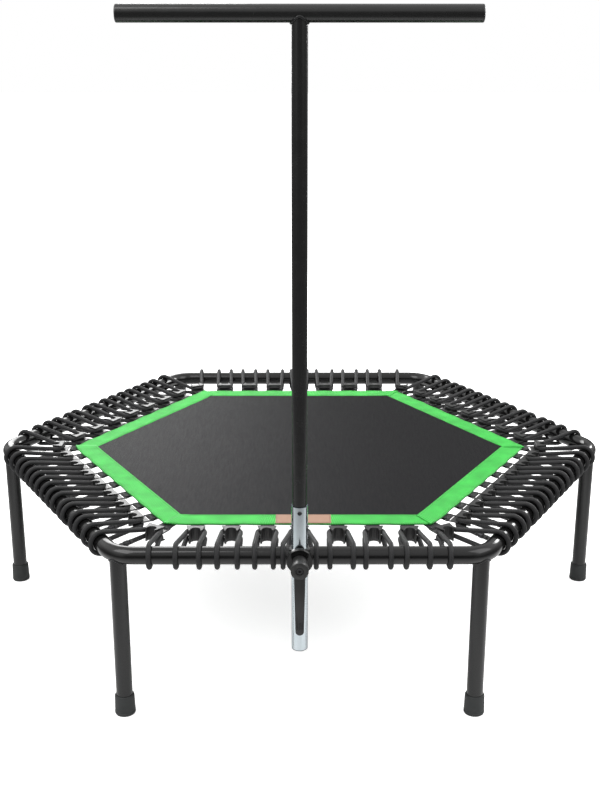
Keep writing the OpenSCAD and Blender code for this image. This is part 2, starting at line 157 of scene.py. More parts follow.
def make_light():
    """A soft studio: bright overhead, dim at the horizon, with two tall soft windows in front, and
    four lamps. The camera itself sees plain white behind the object."""
    world = bpy.data.worlds.new("studio")
    world.use_nodes = True
    tree = world.node_tree
    back = tree.nodes["Background"]
    coords = tree.nodes.new("ShaderNodeTexCoord")
    split = tree.nodes.new("ShaderNodeSeparateXYZ")
    tree.links.new(coords.outputs["Generated"], split.inputs[0])
    above = sky_ramp(tree, split.outputs["Z"], (
        (-1, 0.5), (0, 0.1), (0.24, 0.22), (0.5, 0.9), (1, 1.15)))
    around = sky_ramp(tree, split.outputs["X"], (
        (-1, 0.3), (-0.8, 1.0), (-0.6, 1.0), (-0.4, 0.0),
        (0.45, 0.0), (0.62, 0.7), (0.8, 0.7), (1, 0.3)))
    glow = tree.nodes.new("ShaderNodeMath")
    glow.operation = "MULTIPLY_ADD"
    glow.inputs[1].default_value = 0.55
    tree.links.new(around, glow.inputs[0])
    tree.links.new(above, glow.inputs[2])
    path = tree.nodes.new("ShaderNodeLightPath")
    seen = tree.nodes.new("ShaderNodeMix")
    seen.data_type = "FLOAT"
    tree.links.new(path.outputs["Is Camera Ray"], seen.inputs[0])
    tree.links.new(glow.outputs[0], seen.inputs[2])
    seen.inputs[3].default_value = 1.0
    tree.links.new(seen.outputs[0], back.inputs["Strength"])
    back.inputs["Color"].default_value = (1, 1, 1, 1)
    bpy.context.scene.world = world
    for lamp in LAMPS:
        soft_box(*lamp)


def sky_ramp(tree, source, stops):
    """A brightness that follows a coordinate from -1 to 1 through the given stops."""
    spread = tree.nodes.new("ShaderNodeMapRange")
    spread.inputs["From Min"].default_value = -1
    tree.links.new(source, spread.inputs["Value"])
    curve = tree.nodes.new("ShaderNodeValToRGB")
    tree.links.new(spread.outputs[0], curve.inputs[0])
    elements = curve.color_ramp.elements
    elements.remove(elements[1])
    for k, (mark, level) in enumerate(stops):
        stop = elements[0] if k == 0 else elements.new((mark + 1) / 2)
        stop.position = (mark + 1) / 2
        stop.color = (level, level, level, 1)
    return curve.outputs["Color"]


def soft_box(name, position, size, watts):
    """A square area lamp that points at the middle of the object."""
    data = bpy.data.lights.new(name, "AREA")
    data.size = size
    data.energy = watts
    lamp = bpy.data.objects.new(name, data)
    lamp.location = position
    aim = LAMP_AIM - lamp.location
    lamp.rotation_euler = aim.to_track_quat("-Z", "Y").to_euler()
    bpy.context.scene.collection.objects.link(lamp)


# ---------------------------------------------------------------------------------------------
# Materials
# ---------------------------------------------------------------------------------------------
class Look:
    """A material under construction: a shader with short calls for the textures that feed it."""

    def __init__(self, name, colour, roughness, **sockets):
        self.material = bpy.data.materials.new(name)
        self.material.use_nodes = True
        self.tree = self.material.node_tree
        self.shader = self.tree.nodes["Principled BSDF"]
        self.shader.inputs["Base Color"].default_value = (*colour, 1)
        self.shader.inputs["Roughness"].default_value = roughness
        for socket, value in sockets.items():
            self.shader.inputs[socket.replace("_", " ")].default_value = value
        self.coords = self.tree.nodes.new("ShaderNodeTexCoord")

    def node(self, kind, **values):
        made = self.tree.nodes.new("ShaderNode" + kind)
        for name, value in values.items():
            setattr(made, name, value)
        return made

    def link(self, source, target):
        self.tree.links.new(source, target)

    def stretched(self, scale, source="Object"):
        mapping = self.node("Mapping")
        mapping.inputs["Scale"].default_value = scale
        self.link(self.coords.outputs[source], mapping.inputs["Vector"])
        return mapping.outputs[0]

    def noise(self, scale, detail=3.0, stretch=(1, 1, 1)):
        texture = self.node("TexNoise")
        texture.inputs["Scale"].default_value = scale
        texture.inputs["Detail"].default_value = detail
        self.link(self.stretched(stretch), texture.inputs["Vector"])
        return texture.outputs[0]

    def maths(self, kind, a, b=None):
        made = self.node("Math", operation=kind)
        for socket, value in zip(made.inputs, (a, b)):
            if value is None:
                continue
            if isinstance(value, (int, float)):
                socket.default_value = value
            else:
                self.link(value, socket)
        return made.outputs[0]

    def tint(self, factor, dark, light):
        mix = self.node("Mix", data_type="RGBA")
        self.link(factor, mix.inputs["Factor"])
        mix.inputs[6].default_value = (*dark, 1)
        mix.inputs[7].default_value = (*light, 1)
        return mix.outputs[2]

    def colour(self, factor, dark, light):
        self.link(self.tint(factor, dark, light), self.shader.inputs["Base Color"])
        return self

    def rough(self, factor, low, high):
        spread = self.node("MapRange")
        spread.inputs["From Min"].default_value = 0.3
        spread.inputs["From Max"].default_value = 0.7
        spread.inputs["To Min"].default_value = low
        spread.inputs["To Max"].default_value = high
        self.link(factor, spread.inputs["Value"])
        self.link(spread.outputs[0], self.shader.inputs["Roughness"])
        return self

    def bump(self, heights, depth, strength=1.0):
        bump = self.node("Bump")
        bump.inputs["Strength"].default_value = strength
        bump.inputs["Distance"].default_value = depth
        self.link(heights, bump.inputs["Height"])
        self.link(bump.outputs[0], self.shader.inputs["Normal"])
        return self


def floor_material():
    """Pale card, and lit from below as seen by the camera, so that it stays nearly white. To the
    object it grows dim further out, as a studio's floor does beyond the lights."""
    look = Look("pale_floor", (0.93, 0.93, 0.93), 0.9, Specular_IOR_Level=0.1)
    look.shader.inputs["Emission Color"].default_value = (1, 1, 1, 1)
    seen = look.node("LightPath").outputs["Is Camera Ray"]
    look.link(look.maths("MULTIPLY", seen, 0.6), look.shader.inputs["Emission Strength"])
    away = look.node("VectorMath", operation="LENGTH")
    look.link(look.coords.outputs["Object"], away.inputs[0])
    dim = look.node("MapRange")
    for socket, value in (("From Min", 0.8), ("From Max", 1.8), ("To Min", 1.0), ("To Max", 0.15)):
        dim.inputs[socket].default_value = value
    look.link(away.outputs["Value"], dim.inputs["Value"])
    card = look.tint(look.noise(2.0), (0.925, 0.925, 0.925), (0.94, 0.94, 0.94))
    shade = look.node("Mix", data_type="RGBA", blend_type="MULTIPLY")
    look.link(look.maths("SUBTRACT", 1.0, seen), shade.inputs["Factor"])
    look.link(card, shade.inputs[6])
    look.link(dim.outputs[0], shade.inputs[7])
    look.link(shade.outputs[2], look.shader.inputs["Base Color"])
    return look.material


def powder_coat(name, grey, roughness):
    """Satin powder coat: a fine orange peel, and a little unevenness in its sheen."""
    look = Look(name, (grey,) * 3, roughness, Specular_IOR_Level=0.42)
    look.colour(look.noise(35), (grey * 0.85,) * 3, (grey * 1.15,) * 3)
    look.rough(look.noise(60, 5), roughness - 0.05, roughness + 0.07)
    return look.bump(look.noise(420, 2), 0.00006, 0.2).material


def zinc_plate():
    """Bright zinc plating with the drawn tube's streaks. The tube's top end face is painted dark,
    as painted shade that keeps it from catching a bright reflection.
    """
    look = Look("bright_zinc_plating", (0.45, 0.49, 0.52), 0.2, Metallic=1.0)
    streaks = look.tint(look.noise(70, 5, (1, 1, 0.12)), (0.32, 0.37, 0.39), (0.64, 0.69, 0.72))
    split = look.node("SeparateXYZ")
    look.link(look.coords.outputs["Object"], split.inputs[0])
    # Painted shade: the top end face is darkened so that it catches no bright reflection.
    painted_dark_end = look.maths("GREATER_THAN", split.outputs["Z"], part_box("lower_tube")[1].z - 0.4 * MM)
    shade = look.node("Mix", data_type="RGBA")
    look.link(painted_dark_end, shade.inputs["Factor"])
    look.link(streaks, shade.inputs[6])
    shade.inputs[7].default_value = (0.11, 0.15, 0.18, 1)
    look.link(shade.outputs[2], look.shader.inputs["Base Color"])
    look.rough(look.noise(160, 6, (1, 1, 0.06)), 0.12, 0.26)
    return look.bump(look.noise(900, 3, (1, 1, 0.03)), 0.00005, 0.3).material


def plated_steel():
    look = Look("plated_steel", (0.55, 0.56, 0.57), 0.3, Metallic=1.0)
    look.rough(look.noise(500, 4), 0.22, 0.38)
    return look.bump(look.noise(1500, 3), 0.00004, 0.3).material


def blackened_steel():
    look = Look("blackened_steel", (0.05, 0.05, 0.052), 0.35, Metallic=1.0)
    return look.rough(look.noise(500, 4), 0.28, 0.45).material


def turned_brass():
    look = Look("turned_brass", (0.72, 0.52, 0.22), 0.3, Metallic=1.0)
    return look.rough(look.noise(600, 3, (1, 0.1, 1)), 0.22, 0.4).material


def moulded_plastic(name, grey, roughness):
    """Moulded plastic with a fine spark-eroded texture."""
    look = Look(name, (grey,) * 3, roughness, Specular_IOR_Level=0.5)
    look.colour(look.noise(120, 4), (grey * 0.85,) * 3, (grey * 1.2,) * 3)
    look.rough(look.noise(300, 3), roughness - 0.06, roughness + 0.08)
    return look.bump(look.noise(1400, 3), 0.00008, 0.4).material


def foot_rubber():
    look = Look("foot_rubber", (0.022, 0.024, 0.024), 0.6, Specular_IOR_Level=0.3)
    look.colour(look.noise(80, 5), (0.018, 0.02, 0.02), (0.028, 0.03, 0.03))
    return look.bump(look.noise(900, 4), 0.00012, 0.5).material


def weave(look, pitch_x, pitch_y):
    """Height of a plain weave: the warp and weft pass over each other by turns."""
    scaled = look.stretched((pi / pitch_x, pi / pitch_y, 1))
    split = look.node("SeparateXYZ")
    look.link(scaled, split.inputs[0])
    across = look.maths("SINE", split.outputs["X"])
    along = look.maths("SINE", split.outputs["Y"])
    crossing = look.maths("MULTIPLY", across, along)
    return look.maths("MULTIPLY_ADD", crossing, 0.5), split


def mat_fabric():
    """Tightly woven polypropylene, with faint lengthwise streaks where the yarns differ."""
    look = Look("woven_mat", (0.009, 0.0088, 0.0095), 0.5, Specular_IOR_Level=0.05)
    heights, _ = weave(look, 0.0014, 0.0014)
    streaks = look.noise(60, 4, (5, 0.5, 1))
    cloud = look.noise(3, 2)
    shade = look.maths("ADD", look.maths("MULTIPLY", streaks, 0.6),
                       look.maths("MULTIPLY", cloud, 0.4))
    look.colour(shade, (0.0075, 0.0073, 0.008), (0.0105, 0.0102, 0.0112))
    look.rough(streaks, 0.46, 0.54)
    return look.bump(heights, 0.00035, 0.5).material


def webbing(name, dark, light, pitch, dark_edge_from=1.0):
    """Ribbed webbing: the ribs cross the band, which its UV map gives in metres along and across.
    The ribs' crests are painted lighter and their grooves darker, as painted highlight and shade.
    Beyond a given distance across the band, over its outer edge and underside, it is darker."""
    look = Look(name, light, 0.58, Specular_IOR_Level=0.32)
    scaled = look.stretched((2 * pi / pitch, 2 * pi / pitch, 1), "UV")
    split = look.node("SeparateXYZ")
    look.link(scaled, split.inputs[0])
    ribs = look.maths("SINE", split.outputs["X"])
    yarns = look.maths("SINE", look.maths("MULTIPLY", split.outputs["Y"], 1.4))
    heights = look.maths("ADD", ribs, look.maths("MULTIPLY", yarns, 0.35))
    # Painted highlight and shade: the colour follows the rib heights, crests lighter and grooves
    # darker.
    shade = look.maths("MULTIPLY_ADD", heights, 0.42)
    shade.node.inputs[2].default_value = 0.5
    blotch = look.maths("MULTIPLY", look.noise(30, 3), 0.8)
    across = look.node("SeparateXYZ")
    look.link(look.coords.outputs["UV"], across.inputs[0])
    inside = look.maths("MULTIPLY_ADD", look.maths("LESS_THAN", across.outputs["Y"], dark_edge_from), 0.36)
    inside.node.inputs[2].default_value = 0.2
    look.colour(look.maths("MULTIPLY", look.maths("ADD", shade, blotch), inside), dark, light)
    return look.bump(heights, 0.0004, 0.9).material


def braided_sheath():
    """Braided cord: the UV map counts crossings along the cord, and turns round it. The raised
    crossings are painted lighter and the grooves between them darker, as painted highlight and
    shade.
    """
    look = Look("braided_sheath", (0.02, 0.02, 0.02), 0.6, Specular_IOR_Level=0.3)
    split = look.node("SeparateXYZ")
    look.link(look.stretched((2 * pi, 2 * pi * 4, 1), "UV"), split.inputs[0])
    one = look.maths("SINE", look.maths("ADD", split.outputs["X"], split.outputs["Y"]))
    two = look.maths("SINE", look.maths("SUBTRACT", split.outputs["X"], split.outputs["Y"]))
    heights = look.maths("MAXIMUM", one, two)
    # Painted highlight and shade: the colour follows the braid's heights, crossings lighter and
    # grooves darker.
    shade = look.maths("MULTIPLY_ADD", heights, 0.35)
    shade.node.inputs[2].default_value = 0.4
    look.colour(shade, (0.008, 0.008, 0.0085), (0.024, 0.024, 0.025))
    return look.bump(heights, 0.0003, 0.5).material


def stitch_thread(name, colour):
    look = Look(name, colour, 0.7)
    dark = tuple(c * 0.75 for c in colour)
    return look.colour(look.noise(400, 2), dark, colour).material


def tan_label():
    look = Look("tan_label", (0.32, 0.19, 0.13), 0.6, Specular_IOR_Level=0.3)
    heights, _ = weave(look, 0.0007, 0.0009)
    look.colour(look.noise(60, 5), (0.27, 0.155, 0.1), (0.34, 0.205, 0.145))
    return look.bump(heights, 0.0001, 0.4).material


def weld_bead():
    look = Look("painted_weld", (0.012, 0.012, 0.013), 0.36, Specular_IOR_Level=0.32)
    look.colour(look.noise(200, 3), (0.009, 0.009, 0.0095), (0.015, 0.015, 0.016))
    return look.bump(look.noise(500, 4), 0.0003, 0.5).material


# ---------------------------------------------------------------------------------------------
# Mesh helpers
# ---------------------------------------------------------------------------------------------
def mesh_object(name, points, faces, materials, uvs=None, kinds=None, smooth=True):
    """A mesh object at the origin. uvs holds one list of pairs per face, kinds one slot per
    face."""
    mesh = bpy.data.meshes.new(name)
    mesh.from_pydata([tuple(p) for p in points], [], faces)
    for material in materials:
        mesh.materials.append(material)
    if uvs is not None:
        layer = mesh.uv_layers.new(name="run")
        layer.data.foreach_set("uv", [c for face in uvs for pair in face for c in pair])
    if kinds is not None:
        mesh.polygons.foreach_set("material_index", kinds)
    mesh.polygons.foreach_set("use_smooth", [smooth] * len(mesh.polygons))
    mesh.update()
    made = bpy.data.objects.new(name, mesh)
    bpy.context.scene.collection.objects.link(made)
    return made


class Shape:
    """Points, faces and UVs gathered from several parts into one mesh."""

    def __init__(self):
        self.points, self.faces, self.uvs, self.kinds = [], [], [], []

    def add(self, points, faces, uvs=None, kind=0, at=None):
        first = len(self.points)
        self.points += [at @ p if at is not None else p for p in points]
        self.faces += [tuple(first + k for k in face) for face in faces]
        self.uvs += uvs if uvs is not None else [[(0, 0)] * len(face) for face in faces]
        self.kinds += [kind] * len(faces)

    def build(self, name, materials, smooth=True):
        return mesh_object(name, self.points, self.faces, materials, self.uvs, self.kinds, smooth)


def grid_faces(rows, columns, wrap_rows=False, wrap_columns=False):
    """Quads over a grid of points stored row by row."""
    faces = []
    for i in range(rows if wrap_rows else rows - 1):
        for j in range(columns if wrap_columns else columns - 1):
            i2, j2 = (i + 1) % rows, (j + 1) % columns
            faces.append((i * columns + j, i * columns + j2, i2 * columns + j2, i2 * columns + j))
    return faces


def swept(path, radius, sides, closed=False, crossings=None):
    """A round rod along a path, without twist. radius is a number or a function of the station.
    crossings is how many braid crossings the UV map counts along it. Returns points, faces, uvs."""
    count = len(path)
    size = radius if callable(radius) else lambda k: radius
    ways = []
    for k in range(count):
        before = path[k - 1] if closed or k else path[0]
        after = path[(k + 1) % count] if closed else path[min(k + 1, count - 1)]
        ways.append((after - before).normalized())
    side = ways[0].orthogonal().normalized()
    first, slants = side, []
    for way in ways:
        side = (side - way * side.dot(way)).normalized()
        slants.append(side)
    twist = 0.0
    if closed:
        back = (side - ways[0] * side.dot(ways[0])).normalized()
        twist = atan2(back.cross(first).dot(ways[0]), back.dot(first))
    points = []
    for k in range(count):
        other = ways[k].cross(slants[k])
        for j in range(sides):
            a = 2 * pi * j / sides + twist * k / count
            points.append(path[k] + size(k) * (cos(a) * slants[k] + sin(a) * other))
    faces = grid_faces(count, sides, closed, True)
    along = (crossings or count) / (count if closed else count - 1)
    uvs = []
    for i in range(count if closed else count - 1):
        for j in range(sides):
            v0, v1 = j / sides, (j + 1) / sides
            u0, u1 = i * along, (i + 1) * along
            uvs.append([(u0, v0), (u0, v1), (u1, v1), (u1, v0)])
    if not closed:
        faces.append(tuple(range(sides - 1, -1, -1)))
        faces.append(tuple((count - 1) * sides + j for j in range(sides)))
        uvs += [[(0, j / sides) for j in range(sides)] for _ in range(2)]
    return points, faces, uvs


def revolved(profile, start, stop, steps, radius_at=None):
    """A profile of (radius, z) points turned about Z from one angle to the other, with end caps."""
    rows = []
    for k in range(steps + 1):
        a = start + (stop - start) * k / steps
        for index, (r, z) in enumerate(profile):
            r = radius_at(index, r, a) if radius_at else r
            rows.append(Vector((r * cos(a), r * sin(a), z)))
    n = len(profile)
    faces = [tuple(reversed(f)) for f in grid_faces(steps + 1, n, False, True)]
    faces.append(tuple(range(n)))
    faces.append(tuple(steps * n + j for j in range(n - 1, -1, -1)))
    return rows, faces


def spot(angle):
    """The frame of an edge or corner: +Y points away from the middle of the hexagon at angle."""
    return Matrix.Translation(CENTRE) @ Matrix.Rotation(angle - pi / 2, 4, "Z")


def edge_spot(i):
    return spot(radians(60 * i - 90))


def corner_spot(i):
    return spot(radians(60 * i - 60))


def bevelled_copy(node, name, width, material):
    """A copy of a CAD node with rounded edges, which stands for it."""
    source = frame["nodes"][node]
    mesh = source.data.copy()
    made = bpy.data.objects.new(name, mesh)
    bpy.context.scene.collection.objects.link(made)
    welded = bmesh.new()
    welded.from_mesh(mesh)
    bmesh.ops.remove_doubles(welded, verts=welded.verts, dist=0.00002)
    bmesh.ops.dissolve_limit(welded, angle_limit=radians(1), verts=welded.verts, edges=welded.edges)
    welded.to_mesh(mesh)
    welded.free()
    mesh.materials.clear()
    mesh.materials.append(material)
    mesh.polygons.foreach_set("use_smooth", [True] * len(mesh.polygons))
    bevel = made.modifiers.new("rounding", "BEVEL")
    bevel.width = width
    bevel.segments = 3
    bevel.limit_method = "ANGLE"
    bevel.angle_limit = radians(25)
    bevel.harden_normals = True
    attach(made, source["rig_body"])
    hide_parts(node)
    return made


# ---------------------------------------------------------------------------------------------
# Mat
# ---------------------------------------------------------------------------------------------
def make_mat(material):
    """Six triangles of one stretched sheet. Each runs from the middle to its own edge."""
    steps = 36
    thick = 1.0 * MM
    reach = BORDER_IN + MAT_TUCK
    for i, edge in enumerate(EDGES):
        at = edge_spot(i)
        top = []
        for row in range(steps + 1):
            y = reach * row / steps
            for column in range(row + 1):
                x = (2 * column - row) / max(row, 1) * y * EDGE_SLOPE
                top.append(at @ Vector((x, y, mat_height(x, y))))
        count = len(top)
        points = top + [p - Vector((0, 0, thick)) for p in top]
        faces = []
        index = lambda row, column: row * (row + 1) // 2 + column
        for row in range(steps):
            for column in range(row + 1):
                a, b, c = index(row, column), index(row + 1, column), index(row + 1, column + 1)
                faces += [(a, c, b), (count + a, count + b, count + c)]
                if column < row:
                    d = index(row, column + 1)
                    faces += [(a, d, c), (count + a, count + c, count + d)]
        rim = [index(row, 0) for row in range(steps)]
        rim += [index(steps, column) for column in range(steps)]
        rim += [index(row, row) for row in range(steps, 0, -1)]
        faces += [(b, a, count + a, count + b) for a, b in zip(rim, rim[1:] + rim[:1])]
        sector = mesh_object(f"mat_fabric_{edge}", points, faces, [material])
        smooth_by_angle(sector, 40)
        if i == 0:
            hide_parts("jumping_mat")
        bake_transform(sector)


def mat_height(x, y):
    """The taut sheet's upper face: it lies level, with the faintest puckers near the stitching."""
    near = max(0.0, (y - BORDER_IN + 70 * MM) / (70 * MM))
    pucker = 0.25 * MM * near * near * cos(2 * pi * x / ANCHOR_PITCH)
    return MAT_TOP + pucker * (1 - min(1, abs(x) / (y * EDGE_SLOPE + 1e-6)) ** 4)


def band_outline():
    """The border webbing's section, folded round the mat's edge: pairs of (share of the width
    from the inner edge, height, how far the scallops move it)."""
    top, low = BORDER_TOP, BORDER_LOW
    half = (top - low) / 2
    roll = 0.7 * MM
    points = [(0, MAT_TOP - 0.2 * MM), (0, top - roll), (0.006, top - 0.25 * MM), (0.02, top)]
    points += [(share / 10, top + 0.15 * MM * sin(pi * share / 10)) for share in range(1, 10)]
    fold = half / (BORDER_OUT - BORDER_IN)
    points += [(1 - fold + fold * sin(a), (top + low) / 2 + half * cos(a))
               for a in (radians(15 * k) for k in range(0, 13, 2))]
    points += [(0.6, low), (0.08, low), (0.075, MAT_TOP - 1.5 * MM)]
    return points


def make_border(material, thread):
    outline = band_outline()
    width = BORDER_OUT - BORDER_IN
    stations = 96
    lap = 7 * MM
    for i, edge in enumerate(EDGES):
        shape = Shape()
        at = edge_spot(i)
        points, lengths = [], []
        for s in range(stations + 1):
            t = 2 * s / stations - 1
            for share, z in outline:
                points.append(at @ band_point(t, share, z, width, lap))
            lengths.append(t * BORDER_OUT * EDGE_SLOPE)
        n = len(outline)
        faces = [tuple(reversed(f)) for f in grid_faces(stations + 1, n, False, True)]
        girth = [share * width + (0.05 if z < MAT_TOP - 1 * MM else 0) for share, z in outline]
        uvs = []
        for s in range(stations):
            for j in range(n):
                j2 = (j + 1) % n
                quad = [(lengths[s], girth[j]), (lengths[s], girth[j2]),
                        (lengths[s + 1], girth[j2]), (lengths[s + 1], girth[j])]
                uvs.append(list(reversed(quad)))
        faces.append(tuple(range(n)))
        faces.append(tuple(stations * n + j for j in range(n - 1, -1, -1)))
        uvs += [[(0, g) for g in girth]] * 2
        shape.add(points, faces, uvs)
        add_stitches(shape, at, width, lap)
        band = shape.build(f"border_band_{edge}", [material, thread])
        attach(band, "mat_edge")
        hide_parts(f"border_{edge}")


def band_point(t, share, z, width, lap):
    """A point of the border band, t from -1 to 1 along it. Its +X end laps over the next band."""
    y = BORDER_IN + share * width
    blunt = max(0.0, (abs(t) * y * EDGE_SLOPE - y * EDGE_SLOPE + 24 * MM) / (24 * MM))
    y -= 4.5 * MM * share ** 2 * blunt ** 2
    reach = y * EDGE_SLOPE
    x = t * reach
    scallop = 0.9 * MM * (cos(2 * pi * x / ANCHOR_PITCH) - 1) * share ** 3
    over = max(0.0, (t - 0.9) / 0.1)
    under = max(0.0, (-t - 0.9) / 0.1)
    x += over * over * lap - under * under * 2 * MM
    lift = 0.9 * MM * min(1.0, 1.6 * over) - 0.35 * MM * under
    wave = 0.22 * MM * cos(2 * pi * x / ANCHOR_PITCH + 1) * share
    return Vector((x, y + scallop, z + lift + wave))


def add_stitches(shape, at, width, lap):
    """Two rows of thread along a band."""
    step = 5.6 * MM
    for share in (0.09, 0.9):
        reach = (BORDER_IN + share * width) * EDGE_SLOPE - 4 * MM
        count = int(2 * reach / step)
        for k in range(count):
            t0 = (-reach + k * step) / (reach + 4 * MM)
            t1 = (-reach + (k + 0.72) * step) / (reach + 4 * MM)
            ends = [at @ band_point(t, share, BORDER_TOP + 0.1 * MM, width, lap) for t in (t0, t1)]
            rise = Vector((0, 0, 0.28 * MM))
            path = [ends[0] - rise, ends[0] * 0.8 + ends[1] * 0.2 + rise,
                    ends[0] * 0.2 + ends[1] * 0.8 + rise, ends[1] - rise]
            points, faces, uvs = swept(path, 0.4 * MM, 5)
            shape.add(points, faces, uvs, kind=1)


def make_label(material, thread):
    """The blank label, sewn on round its edge."""
    low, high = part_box("blank_label")
    across, deep = high.x - low.x, high.y - low.y
    columns, rows = 40, 16
    rim = 0.5 * MM
    thick = 0.7 * MM
    points = []
    for side in (1, -1):
        for row in range(rows + 1):
            for column in range(columns + 1):
                u, v = column / columns, row / rows
                edge = min(u * across, (1 - u) * across, v * deep, (1 - v) * deep)
                soft = min(1.0, edge / rim)
                z = BORDER_TOP + 0.2 * MM + thick * (0.55 + 0.45 * soft * side)
                z += 0.12 * MM * sin(3 * pi * u) * sin(pi * v)
                points.append(Vector((low.x + u * across, low.y + v * deep, z)))
    half = (rows + 1) * (columns + 1)
    top = grid_faces(rows + 1, columns + 1)
    faces = top + [tuple(half + k for k in reversed(f)) for f in top]
    ring = [column for column in range(columns + 1)]
    ring += [row * (columns + 1) + columns for row in range(1, rows + 1)]
    ring += [rows * (columns + 1) + column for column in range(columns - 1, -1, -1)]
    ring += [row * (columns + 1) for row in range(rows - 1, 0, -1)]
    faces += [(b, a, half + a, half + b) for a, b in zip(ring, ring[1:] + ring[:1])]
    shape = Shape()
    shape.add(points, faces)
    inset = 2.2 * MM
    step = 3.4 * MM
    corners = [Vector((x, y, BORDER_TOP + 1.0 * MM)) for x, y in (
        (low.x + inset, low.y + inset), (high.x - inset, low.y + inset),
        (high.x - inset, high.y - inset), (low.x + inset, high.y - inset))]
    for a, b in zip(corners, corners[1:] + corners[:1]):
        count = int((b - a).length / step)
        for k in range(count):
            ends = [a.lerp(b, k / count), a.lerp(b, (k + 0.68) / count)]
            points, faces, uvs = swept([ends[0], ends[0].lerp(ends[1], 0.5), ends[1]], 0.3 * MM, 5)
            shape.add(points, faces, uvs, kind=1)
    label = shape.build("label_patch", [material, thread])
    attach(label, "mat_edge")
    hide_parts("blank_label")


# ---------------------------------------------------------------------------------------------
# Anchors, straps and rings
# ---------------------------------------------------------------------------------------------
def place(i, k):
    """How far along edge i the ring k stands. Beside the clamp they sit a little to one side."""
    return k * ANCHOR_PITCH - (CLAMP_DRIFT if i == 0 and k else 0)


def ring_spots():
    """Where each of the anchors stands: its frame, with the anchor's core on the Z axis."""
    for i in range(len(EDGES)):
        for k in range(-RING_HALF, RING_HALF + 1):
            yield edge_spot(i) @ Matrix.Translation((place(i, k), ANCHOR_Y, ANCHOR_Z))
        yield corner_spot(i) @ Matrix.Translation((0, ANCHOR_CORNER_Y, ANCHOR_Z))


def cap_reach(angle):
    """How far the anchor's top and bottom plates reach at an angle: straight at the back, with
    sides that draw in from two corners to the horns at the front."""
    x, y = abs(cos(angle)), sin(angle)
    slanted = 233 * MM / (18 * x + 4.7 * y) if 18 * x + 4.7 * y > 6 else 1.0
    straight = 18.2 * MM / -y if y < -0.5 else 1.0
    return max(min(slanted, straight), ANCHOR_CORE)


def anchor_parts():
    """One moulded anchor: half a spool with two cord channels, ribs in its bore, and a lug."""
    h = ANCHOR_H / 2
    core = ANCHOR_CORE
    plate, web, soft = 2.1 * MM, 1.5 * MM, 0.5 * MM
    cap = 18 * MM
    profile = [(ANCHOR_BORE, -h + soft), (ANCHOR_BORE + soft, -h), (cap - soft, -h),
               (cap, -h + soft), (cap, -h + plate - soft), (cap - soft, -h + plate),
               (core + 0.6 * MM, -h + plate + 0.1 * MM), (core, -h + plate + 0.6 * MM),
               (core, -web - 0.6 * MM), (core + 0.6 * MM, -web),
               (cap - 2 * MM, -web + 0.3 * MM), (cap - 1.6 * MM, 0), (cap - 2 * MM, web - 0.3 * MM),
               (core + 0.6 * MM, web), (core, web + 0.6 * MM),
               (core, h - plate - 0.6 * MM), (core + 0.6 * MM, h - plate - 0.1 * MM),
               (cap - soft, h - plate), (cap, h - plate + soft), (cap, h - soft),
               (cap - soft, h), (ANCHOR_BORE + soft, h), (ANCHOR_BORE, h - soft)]
    ribs = 7

    def radius_at(index, r, a):
        if r > core + 1 * MM:
            reach = cap_reach(a) + r - cap
            return max(core, reach if abs(profile[index][1]) > web else min(r, reach))
        if r < core - 1 * MM:
            return r - 0.4 * MM * max(0.0, cos(2 * ribs * a)) ** 2
        return r

    points, faces = revolved(profile, radians(162), radians(378), 72, radius_at)
    lug_points, lug_faces = lug_parts()
    return points, faces, lug_points, lug_faces


def lug_parts():
    """The lug towards the mat, with a slot for the strap: a flat frame with rounded edges."""
    half, back, front = 15 * MM, -38 * MM, -12.6 * MM
    slot_half, slot_back, slot_front = 13.3 * MM, -33 * MM, -28.6 * MM
    thick, soft = 1.5 * MM, 0.5 * MM
    rings = []
    for grow, z in ((-soft, -thick), (0, -thick + soft), (0, thick - soft), (-soft, thick)):
        rings.append([(-half - grow, back - grow, z), (half + grow, back - grow, z),
                      (half + grow, front, z), (-half - grow, front, z)])
    for grow, z in ((soft, thick), (0, thick - soft), (0, -thick + soft), (soft, -thick)):
        rings.append([(-slot_half - grow, slot_back - grow, z),
                      (slot_half + grow, slot_back - grow, z),
                      (slot_half + grow, slot_front + grow, z),
                      (-slot_half - grow, slot_front + grow, z)])
    points = [Vector(p) for ring in rings for p in ring]
    return points, grid_faces(len(rings), 4, True, True)


def make_anchors(material):
    points, faces, lug_points, lug_faces = anchor_parts()
    shape = Shape()
    for at in ring_spots():
        shape.add(points, faces, at=at)
        shape.add(lug_points, lug_faces, at=at)
    anchors = shape.build("ring_anchor_mouldings", [material])
    smooth_by_angle(anchors, 35)
    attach(anchors, "mat_edge")
    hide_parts("ring_anchors")


def smooth_by_angle(made, degrees):
    """Sharp edges stay sharp, and the rest is smooth."""
    mesh = made.data
    work = bmesh.new()
    work.from_mesh(mesh)
    for edge in work.edges:
        if len(edge.link_faces) == 2 and edge.calc_face_angle(0) > radians(degrees):
            edge.smooth = False
    work.to_mesh(mesh)
    work.free()


def strap_route():
    """The strap's middle line, in the anchor's frame: under the mat, round the lug's bar, back."""
    top = BORDER_LOW - ANCHOR_Z - 0.8 * MM
    bar = -35.5 * MM
    turn = 3.3 * MM
    down = [(bar - 25 * MM, top - 1.4 * MM), (bar - 14 * MM, top - 1.5 * MM),
            (bar - 8 * MM, top - 2.6 * MM)]
    around = [(bar + turn * cos(a), turn * 0.75 * sin(a)) for a in
              (radians(235 + 25 * k) for k in range(9))]
    up = [(bar - 4 * MM, top + 0.5 * MM), (bar - 8 * MM, top), (bar - 16 * MM, top),
          (bar - 25 * MM, top)]
    return down + around + up


